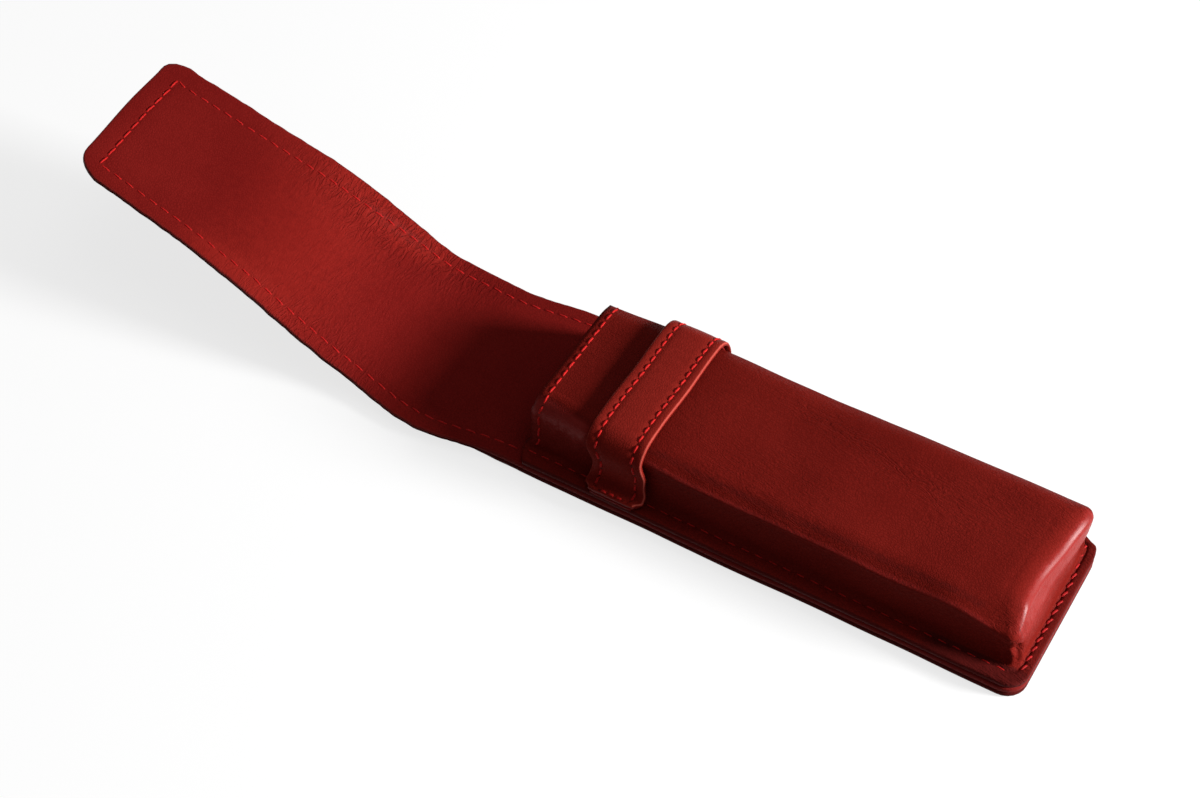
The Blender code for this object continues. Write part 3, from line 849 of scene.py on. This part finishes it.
def shape_front(point):
    """Turns the crisp moulded form into worn leather that gives way."""
    x, y, z = point
    x, y = far_corner(x, y)
    side = copysign(1, y) if y else 0
    near = step_mm(-y, 0, 10)
    # The near shoulder is rolled between mouth and strap
    if y < 0:
        inset, z = soften(BOX_HALF + y, z, 1.2 * (1 - step_mm(x, -2, 6, KEEPER_LOW.x)))
        y = inset - BOX_HALF
    rise = step_mm(z, 0, 2, FLANGE_TOP)
    on_top = step_mm(z, -3.4, 0, BOX_TOP)
    on_wall = rise * (1 - on_top)
    # The top bulges, rolls off along its near edge and is uneven
    middle = max(1 - (y / BOX_HALF) ** 2, 0)
    length = step_mm(x, 0, 12, MOUTH) * (1 - step_mm(x, -7, 0, BOX_END))
    z += on_top * (middle * (0.55 * length - 0.1) + 0.7 * step_mm(x, 40, 68)) * MM
    rolled = min(max(-y - 13.5 * MM, 0) / (6 * MM), 1.1) ** 2
    z -= on_top * step_mm(x, 0, 12, KEEPER_HIGH.x) * (1 - step_mm(x, 52, 66)) * rolled * MM
    z += on_top * (uneven(x, y, 0, 38, 1.3) * 0.45 + uneven(x, y, 0, 95, 6.6) * 0.14) * MM
    z += on_top * (hump_mm(x, -11, 12) * 0.6 - hump_mm(x, -25, 8) * 0.45) * MM
    z += on_top * step_mm(y, 4, 16) * step_mm(x, 8, 45) * MM
    # The long walls are uneven and hollow, and slump at the mouth
    ripple = uneven(x, side * 0.02, z, 45, 4.4) * 0.5 + uneven(x, side * 0.02, z, 120, 2.2) * 0.14
    y += side * on_wall * ripple * MM
    y -= side * on_wall * length * hump_mm(z, 10.5, 4) * 0.45 * MM
    slump = side * (1 - step_mm(x, 0, 18, MOUTH)) * smooth_step(z, FLANGE_TOP, 15 * MM)
    y -= slump * step_mm(abs(y), 9, 19) * (1.0 + 1.4 * near) * MM
    # The closed end is rolled over, creased low down, dented, and drawn in at its foot
    at_end = step_mm(x, -7, -1.5, BOX_END)
    far = step_mm(y, 8, 17)
    x += at_end * on_wall * uneven(0, y, z, 70, 9.2) * 0.5 * MM
    inset, z = soften(BOX_END - x, z, 0.7 - 0.3 * far)
    x = BOX_END - inset
    x -= at_end * rise * (0.2 * bump_at(z, 10.4 * MM + 0.9 * MM * hump_mm(y, 0, 8), 1.2 * MM)
                          + 0.6 * hump_mm(z, 10.6, 3.2) * hump_mm(y, 0.5, 9)) * MM
    dent = hump_mm(y, -6, 10) if y > -6 * MM else 1 - 0.45 * step_mm(-y, 9, 18)
    x -= step_mm(x, -16, -2, BOX_END) * step_mm(z, 9, 16) * (1.9 * dent - 0.7 * far) * MM
    x -= at_end * far * 0.5 * MM * (1 - step_mm(z, 8, 14)) * rise
    # The near corner sinks, and the leather is gathered round the foot of both corners
    z -= 2.7 * MM * step_mm(-y, 11.5, 19.5) * step_mm(x, 57, 74) * smooth_step(z, 6 * MM, BOX_TOP - 1 * MM)
    tuck = hump_mm(z, 9.7, 1.2) * hump_mm(hypot(x - 77.3 * MM, y + 18.8 * MM), 0, 1.6)
    x, y = x - 1.5 * MM * tuck, y + 1.5 * MM * tuck
    pinch = step_mm(abs(y), -7, -1.5, BOX_HALF) * at_end
    low = bump_at(z, FLANGE_TOP + 2.2 * MM, 3.4 * MM)
    around = atan2(abs(y) - (BOX_HALF - 5 * MM), x - (BOX_END - 5 * MM))
    pleat = sin(around * 14 + 0.7) * (0.55 if y > 0 else 0.3) * MM * pinch * low * rise
    out = Vector((cos(around), side * sin(around), 0)) * pleat
    # The flange waves a little at its cut edge
    flange = 1 - step_mm(z, 0, 0.6, FLANGE_TOP)
    z += flange * smooth_step(abs(y), BOX_HALF, BACK_EDGE) * uneven(x, 0, 0, 60, 5.5) * 0.16 * MM
    return Vector((x, y, z)) + out


def painted_shade(point):
    """Painted shade: the flange at the closed end and at the near corner, and the top just inside its near
    ridge.
    """
    x, y, z = point
    flat = 1 - step_mm(z, 0, 0.6, FLANGE_TOP)
    corner = step_mm(x, 48, 62) * step_mm(-y, 18.5, 20.5)
    groove = step_mm(z, -1, -0.5, BOX_TOP) * hump_mm(-y, 17, 1.6)
    groove *= 1 - step_mm(x, -12, -6, BOX_END)
    return max(flat * max(0.85 * corner, 0.58 * step_mm(x, 0, 0.6, BOX_END)), 0.56 * groove)


def scuff_and_highlight(point, scuff_and_sheen):
    """Scuffing and painted highlight on the box's end edge most, then painted sheen along its near ridge
    and painted light on the mouth's wall and shoulder.
    """
    x, y, z = point
    wall = step_mm(abs(y), -3, -0.5, BOX_HALF)
    ridge = bump_at(z, BOX_TOP - 1.45 * MM, 0.75 * MM) * step_mm(-y, 17, 19)
    ridge *= 1 - step_mm(x, -9, -3, BOX_END)
    end = step_mm(x, -6, -2.5, BOX_END) * (1 - 0.8 * wall)
    end = (0.08 + 0.92 * end) * (1 - 0.15 * step_mm(-y, 8, 17))
    mouth = (1 - step_mm(x, -3, 2, KEEPER_LOW.x)) * step_mm(-y, 15, 18)
    mouth *= smooth_step(z, FLANGE_TOP, 13 * MM)
    return max(scuff_and_sheen * max(end, 0.74 * ridge), mouth * (0.6 + 0.2 * hump_mm(z, 15.8, 2.2)))


def front_creasing(point):
    """Fine creases: a slanting band across the top, beside the strap and at the end's corners."""
    x, y, z = point
    top = step_mm(z, -2, 0, BOX_TOP)
    patch = smooth_step(uneven(x, y, 0, 28, 4.9), -0.1, 0.35)
    corner = step_mm(abs(y), 12, 19) * step_mm(x, -12, 0, BOX_END)
    line = 12.2 * MM - 0.185 * (x - 9 * MM)
    band = bump_at(y, line, 3.6 * MM) * step_mm(x, -2, 16) * (1 - step_mm(x, 40, 62))
    strap = bump_at(x, KEEPER_HIGH.x + 9 * MM, 13 * MM)
    over = 0.1 + 0.3 * patch + 0.75 * band + 0.22 * strap
    return min(top * over + 0.25 * (1 - top) + 0.8 * corner, 1.3)


def profile_rows(growth, floor, rim, seam):
    """Rows of the moulded section, as (half width, height, edge, scuff_and_sheen)."""
    rows = []
    wall = BOX_HALF + growth
    foot = 0.9 * MM - growth
    if rim:
        rows += [(BACK_EDGE - inset, floor - sink, edge, scuff_and_sheen)
                 for inset, sink, edge, scuff_and_sheen in face_rows(FLANGE_FACE if seam else PLAIN_FACE, 0.35 * MM)]
        rows += [spot[:2] + (0, 0) for spot in arc(wall + foot, floor + foot, foot, 270, 180, 4)]
    else:
        rows.append((wall, floor, 0.3, 0))
    top = BOX_TOP + growth
    base = rows[-1][1]
    rise = top - SHOULDER_CURVE[0][1] * MM
    for step in range(1, 10):
        scuff_and_sheen = 0.33 + 0.35 * smooth_step(step, 4, 9.5) if seam else 0
        rows.append((wall, base + (rise - base) * step / 10, 0, scuff_and_sheen))
    for index, (inset, drop) in enumerate(SHOULDER_CURVE):
        scuff_and_sheen = max(bump_at(index, 5.5, 3.0), 0.75 if index < 6 else 0) if seam else 0
        rows.append((wall - inset * MM, top - drop * MM, 0, scuff_and_sheen))
    return rows


def build_front():
    outer = profile_rows(0.0, FLANGE_TOP, rim=True, seam=True)
    inner = profile_rows(-SHELL_SKIN, BACK_TOP + 0.02 * MM, rim=True, seam=False)
    shell = moulded_shell("moulded_front_leather", outer, inner, 0.0, (120, 10, 26), LEATHER)
    ride_as(shell, "case", "outer_leather", "front_shell")
    skin = SHELL_SKIN + 0.06 * MM
    outer, inner = [profile_rows(-depth, BACK_TOP + 0.05 * MM, rim=False, seam=False)
                    for depth in (skin, skin + LINING_SKIN)]
    lining = moulded_shell("front_pocket_lining", outer, inner, 0.7 * MM, (60, 6, 16), POCKET)
    ride_as(lining, "case", "pocket_lining", "front_lining")


def build_dividers():
    start, end = MOUTH + 3 * MM, 74.2 * MM
    low, top = BACK_TOP + 0.1 * MM, BOX_TOP - 2.9 * MM
    foot, inside, outside = 3.03 * MM, 5.63 * MM, 6.43 * MM
    profile = ((foot, low), (outside - 0.2 * MM, low), (outside, low + 0.2 * MM), (outside, top - 0.3 * MM),
               (outside - 0.4 * MM, top), (inside, top - 0.3 * MM), (inside, low + 1.2 * MM),
               (inside - 0.4 * MM, low + 0.8 * MM), (foot + 0.2 * MM, low + 0.75 * MM))
    marks = ((0.6, 0), (0, 0), (0, 0), (0.5, 0), (1, 0.5), (0.5, 0), (0, 0), (0, 0), (0.6, 0))
    for name, side in SIDES:
        loops = []
        for x in spread(start, end, 40):
            leans = [uneven(x, 0, 0, 40, 2 + side) * 0.7 * MM * (z - low) / (top - low) for _, z in profile]
            loops.append([Vector((x, side * (y + lean), z)) for (y, z), lean in zip(profile, leans)])
        item = loft("pocket_divider_" + name, loops, POCKET, marks)
        ride_as(item, "case", "pocket_lining", "divider_" + name)


# Keeper strap, as rows (inset in millimetres, drop, edge, scuff_and_sheen) from its cut edge to its middle
STRAP_FACE = ((0, 0.62, 0, 0), (0.07, 0.38, 0.2, 0), (0.2, 0.18, 1, 0.2), (0.42, 0.06, 0.7, 0.1),
              (0.7, 0.02, 0, 0), (1.4, 0, 0, 0), (2.1, 0.08, 0, 0), (2.6, 0.3, 0, 0),
              (3.1, 0.08, 0, 0), (4.4, 0, 0, 0), (7.25, -0.04, 0, 0))
# Its back, as (share of the half width, share of the thickness)
STRAP_BACK = ((1, 0.72), (0.75, 1), (0, 1), (-0.75, 1), (-1, 0.72))


def keeper_profile(depth):
    """Section of the strap as (y, z, outward y, outward z), near foot to far foot, depth counted inward."""
    growth = KEEPER_SKIN - depth
    wall = BOX_HALF + growth
    floor = FLANGE_TOP + 0.05 * MM + KEEPER_SKIN - depth
    foot = 1.4 * MM + depth
    rise = BOX_TOP - SHOULDER + 0.75 * MM
    reach = BACK_EDGE + 0.25 * MM
    radius = SHOULDER + growth
    points = [(y, floor, 0.0, 1.0) for y in spread(reach, wall + foot, 4)[:-1]]
    points += [(y, z, -ny, -nz) for y, z, ny, nz in arc(wall + foot, floor + foot, foot, 270, 180, 6)]
    points += [(wall, z, 1.0, 0.0) for z in spread(floor + foot, rise, 5)[1:-1]]
    points += arc(BOX_HALF - SHOULDER, rise, radius, 0, 90, 8)
    points += [((BOX_HALF - SHOULDER) * (1 - step / 8), rise + radius, 0.0, 1.0) for step in range(1, 8)]
    near = [(-y, z, -ny, nz) for y, z, ny, nz in points]
    return near + [(0.0, rise + radius, 0.0, 1.0)] + points[::-1]


def keeper_point(spot, offset, lift):
    """A point of the strap, kinked at the walls and bowed over the top."""
    y, z, ny, nz = spot
    crown = smooth_step(z, 12 * MM, BOX_TOP)
    low = 1 - smooth_step(z, FLANGE_TOP, 11 * MM)
    heel = step_mm(abs(y), -1.6, 0, BACK_EDGE)
    x = KEEPER_MIDDLE + offset * (1 + 0.07 * low - 0.05 * hump_mm(z, 11, 3) - 0.22 * heel)
    x += uneven(0, y, z, 60, 6.1) * 0.5 * MM + (1 - crown) * (1.9 if y < 0 else 0.8) * MM
    bow = crown * (1 - (y / BOX_HALF) ** 2) * 0.35 * MM
    out = lift + uneven(x, y, z, 80, 8.8) * 0.12 * MM
    return Vector((x, y + ny * out, z + nz * out + bow))


def build_keeper():
    # The strap's cut edge is paler; its side toward the closed end is marked fully as a painted highlight,
    # the mouth side less
    face = [(way * (KEEPER_HALF - inset * MM), -drop * MM, pale * edge, scuff_and_sheen)
            for way, pale, rows in ((-1, 0.55, STRAP_FACE), (1, 1, STRAP_FACE[-2::-1]))
            for inset, drop, edge, scuff_and_sheen in rows]
    marks = [row[2:] for row in face] + [(0, 0)] * len(STRAP_BACK)
    layers = (("strap_leather", "outer", 0.0, 1.15 * MM, 1.0, 0.0, STRAP),
              ("strap_backing", "lining", 1.4 * MM, 0.7 * MM, 0.4, 0.8 * MM, LINING))
    for name, layer, depth, thick, drop_share, inset, material in layers:
        spots = keeper_profile(depth)
        narrow, reach = 1 - inset / KEEPER_HALF, KEEPER_HALF - inset
        loops = []
        for spot in spots:
            loop = [keeper_point(spot, offset * narrow, drop_share * drop) for offset, drop, _, _ in face]
            loop += [keeper_point(spot, share * reach - (share * 0.15 * MM), -thick * pared)
                     for share, pared in STRAP_BACK]
            loops.append(loop)
        # Painted light: the strap's crown is marked lighter than its shaded sides
        scuffed_and_lit = [0.6 * step_mm(spot[1], -1.5, 2.8, BOX_TOP) for spot in spots]
        item = loft("keeper_" + name, loops, material, marks, scuffed_and_lit)
        ride_as(item, "case", layer + "_leather", "keeper_" + layer)


# Seams
def build_keeper_stitches():
    spots = keeper_profile(0.0)
    for name, offset in (("mouth", -KEEPER_HALF + KEEPER_ROW), ("end", KEEPER_HALF - KEEPER_ROW)):
        path = [(keeper_point(spot, offset, -0.22 * MM), Vector((0, *spot[2:]))) for spot in spots[3:-3]]
        stitch_case("keeper_stitches_" + name, "keeper_thread_" + name, [path], STRAP_THREAD)
    for name, spot in (("near", spots[1]), ("far", spots[-2])):
        path = [(keeper_point(spot, offset, 0.0), UP)
                for offset in (-KEEPER_HALF + TACK_INSET, 0.0, KEEPER_HALF - TACK_INSET)]
        stitch_case("keeper_tack_stitches_" + name, "keeper_tack_" + name, [path], TACK_THREAD)


def seam_point(x, side, height):
    return shape_panel(x, side * (flap_half_width(x) - SEAM_INSET), height)


def seam_up(x):
    slope = slope_at(x / MM)
    return Vector((sin(slope), 0, cos(slope)))


def flange_point(x, side):
    return shape_front(Vector((x, side * (BACK_EDGE - SEAM_INSET), FLANGE_TOP - 0.3 * MM)))


def build_side_stitches():
    root = front_mouth(BACK_EDGE - SEAM_INSET, FLANGE_TOP) - 1 * MM
    start = BRIDGE_MIDDLE
    for name, side in SIDES:
        body = Body()
        sew(body, [(flange_point(x, side), UP) for x in spread(root + 1.8 * MM, SEAM_LAST, 90)],
            **FLANGE_THREAD)
        sew(body, [(seam_point(x, side, SEAM_ABOVE), seam_up(x)) for x in spread(start, root, 60)],
            **SUNK_THREAD)
        sew(body, [(seam_point(x, side, SEAM_BELOW), -seam_up(x)) for x in spread(start, SEAM_LAST, 150)],
            **SUNK_THREAD)
        join(body.make("side_seam_stitches_" + name, THREADS), "case",
             ("side_seam_thread_" + name, "bridge_thread_" + name))


def build_end_stitches():
    line = BACK_END - 1.95 * MM
    reach = BOX_HALF + 0.1 * MM
    upper, lower = [], []
    for y in spread(-reach, reach, 40):
        foot = Vector((line - 1.1 * MM * step_mm(y, 8, 17), y, FLANGE_TOP - 0.2 * MM))
        upper.append((shape_front(foot), UP))
        lower.append((Vector((line, y, SEAM_BELOW)), DOWN))
    stitch_case("end_seam_stitches", "end_seam_thread", [upper, lower], END_THREAD, [END_ROW_SHADED, HOLE])


def build_tongue_stitches():
    body = Body()
    tip_row = TIP + SEAM_INSET
    far = [(x, flap_half_width(x) - SEAM_INSET) for x in spread(BRIDGE_MIDDLE, tip_row, 90)]
    near = [(x, -y) for x, y in far]
    tip = [(tip_row, y) for y in spread(-far[-1][1], far[-1][1], 24)]
    for height, sign in ((SEAM_ABOVE, 1), (SEAM_BELOW, -1)):
        for flat, thread in ((near, SUNK_THREAD), (far[::-1], SUNK_THREAD), (tip, TIP_THREAD)):
            sew(body, [(shape_panel(x, y, height), seam_up(x) * sign) for x, y in flat], **thread)
    join(body.make("tongue_stitches", THREADS), "tongue", ("tongue_thread",))


def build_mouth_stitches():
    rows = profile_rows(0.0, FLANGE_TOP, rim=True, seam=True)
    wall = [row[:2] for row in rows if row[1] > FLANGE_TOP + 0.8 * MM and row[0] <= BOX_HALF]
    near, far = [], []
    for index, (half, height) in enumerate(wall):
        before, after = wall[max(index - 1, 0)], wall[min(index + 1, len(wall) - 1)]
        step = Vector((0, -(after[0] - before[0]), after[1] - before[1])).normalized()
        x = front_mouth(half, height) + MOUTH_ROW - MOUTH
        near.append((shape_front(Vector((x, -half, height))), Vector((0, -step.z, step.y))))
        far.append((shape_front(Vector((x, half, height))), Vector((0, step.z, step.y))))
    across = spread(-wall[-1][0], wall[-1][0], 24)[1:-1]
    middle = [(shape_front(Vector((MOUTH_ROW, y, BOX_TOP))), UP) for y in across]
    stitch_case("mouth_stitches", "mouth_thread", [near + middle + far[::-1]], MOUTH_THREAD)


# Studio
def lamp(name, place, width, height, power):
    """A lamp aimed at the middle of the scene."""
    data = bpy.data.lights.new(name, "AREA")
    data.shape = "RECTANGLE"
    data.size, data.size_y = width, height
    data.energy = power
    item = add_object(name, data)
    item.location = place
    item.rotation_euler = (-Vector(place)).to_track_quat("-Z", "Y").to_euler()


def build_studio():
    world = bpy.data.worlds.new("studio")
    bpy.context.scene.world = world
    world.use_nodes = True
    back = world.node_tree.nodes["Background"]
    feed_all(world.node_tree, back, {"Strength": 0.13, "Color": (1, 1, 1, 1)})
    mesh = bpy.data.meshes.new("studio_floor")
    reach, drop = 12.0, -0.3 * MM
    corners = ((-reach, -reach, drop), (reach, -reach, drop), (reach, reach, drop), (-reach, reach, drop))
    mesh.from_pydata(corners, [], [(0, 1, 2, 3)])
    floor = add_object("studio_floor", mesh)
    material, tree, shader = start_material("pale_floor")
    feed_all(tree, shader, {"Base Color": (0.3, 0.3, 0.3, 1), "Roughness": 0.9, "Specular IOR Level": 0.1})
    # The floor glows only for what the camera sees of it, and lights nothing by it
    rays = tree.nodes.new("ShaderNodeLightPath").outputs
    seen = math_node(tree, "MAXIMUM", rays["Is Camera Ray"], rays["Is Glossy Ray"])
    seen = math_node(tree, "MAXIMUM", seen, rays["Is Transmission Ray"])
    glow = add_node(tree, "ShaderNodeEmission", Strength=times(tree, seen, 0.76))
    total = tree.nodes.new("ShaderNodeAddShader")
    feed(tree, total.inputs[0], shader.outputs["BSDF"])
    feed(tree, total.inputs[1], glow.outputs["Emission"])
    feed(tree, tree.nodes["Material Output"].inputs["Surface"], total.outputs["Shader"])
    mesh.materials.append(material)
    lamp("key", (0.90, 0.28, 0.37), width=0.28, height=0.26, power=20.5)
    lamp("overhead", (0.2, 0.25, 1.1), width=0.8, height=0.8, power=1.8)


GRAIN = build_grain_group()
MARKS_AND_LIGHT = build_wear_group()
# The outer leather's edge colour darkens cut edges and also paints shade; each scuff_and_sheen colour
# lightens scuffed places and paints highlight, sheen and light
LEATHER = make_leather(
    "outer_red_leather", deep=(0.13, 0.0073, 0.005, 1), bright=(0.185, 0.0122, 0.0084, 1),
    edge=(0.085, 0.008, 0.007, 1), scuff_and_sheen=(0.31, 0.023, 0.02, 1), turn=1.75, creases=2.4)
LINING = make_leather(
    "lining_red_leather", deep=(0.152, 0.007, 0.006, 1), bright=(0.208, 0.0118, 0.0095, 1),
    edge=(0.18, 0.014, 0.012, 1), scuff_and_sheen=(0.305, 0.0175, 0.012, 1), roughness=0.6,
    pebbles=1700.0, creases=3.4, coat=0.03)
# The strap's pale edge colour is its cut edge brightened into a painted highlight
STRAP = make_leather(
    "strap_red_leather", deep=(0.163, 0.0096, 0.0065, 1), bright=(0.218, 0.0146, 0.0098, 1),
    edge=(0.45, 0.068, 0.05, 1), scuff_and_sheen=(0.3, 0.0225, 0.0155, 1), turn=0.9, creases=1.8, coat=0.03)
POCKET = make_leather(
    "pocket_lining_leather", deep=(0.1, 0.006, 0.005, 1), bright=(0.14, 0.01, 0.008, 1),
    edge=(0.1, 0.01, 0.009, 1), scuff_and_sheen=(0.18, 0.018, 0.014, 1), roughness=0.7, depth=0.03 * MM,
    pebbles=2200.0)
THREAD = make_thread_material("red_sewing_thread", (0.6, 0.016, 0.015, 1), (0.34, 0.008, 0.008, 1))
# A darker copy of the red thread for the end row: painted shade
END_ROW_SHADED = make_thread_material("end_row_thread_painted_darker", (0.43, 0.012, 0.014, 1), (0.2, 0.005, 0.006, 1))
HOLE = make_thread_material("needle_hole_shade", (0.012, 0.001, 0.001, 1), (0.006, 0.0005, 0.0005, 1))
THREADS = [THREAD, HOLE]
BOARD = make_board_material("stiffener_board")

place_camera()
build_panels()
build_front()
build_dividers()
build_keeper()
build_keeper_stitches()
build_side_stitches()
build_end_stitches()
build_tongue_stitches()
build_mouth_stitches()
build_tongue_board()
for slot in frame["nodes"]["back_board"].material_slots:
    slot.material = BOARD
build_studio()
bpy.context.scene.view_settings.view_transform = "Standard"
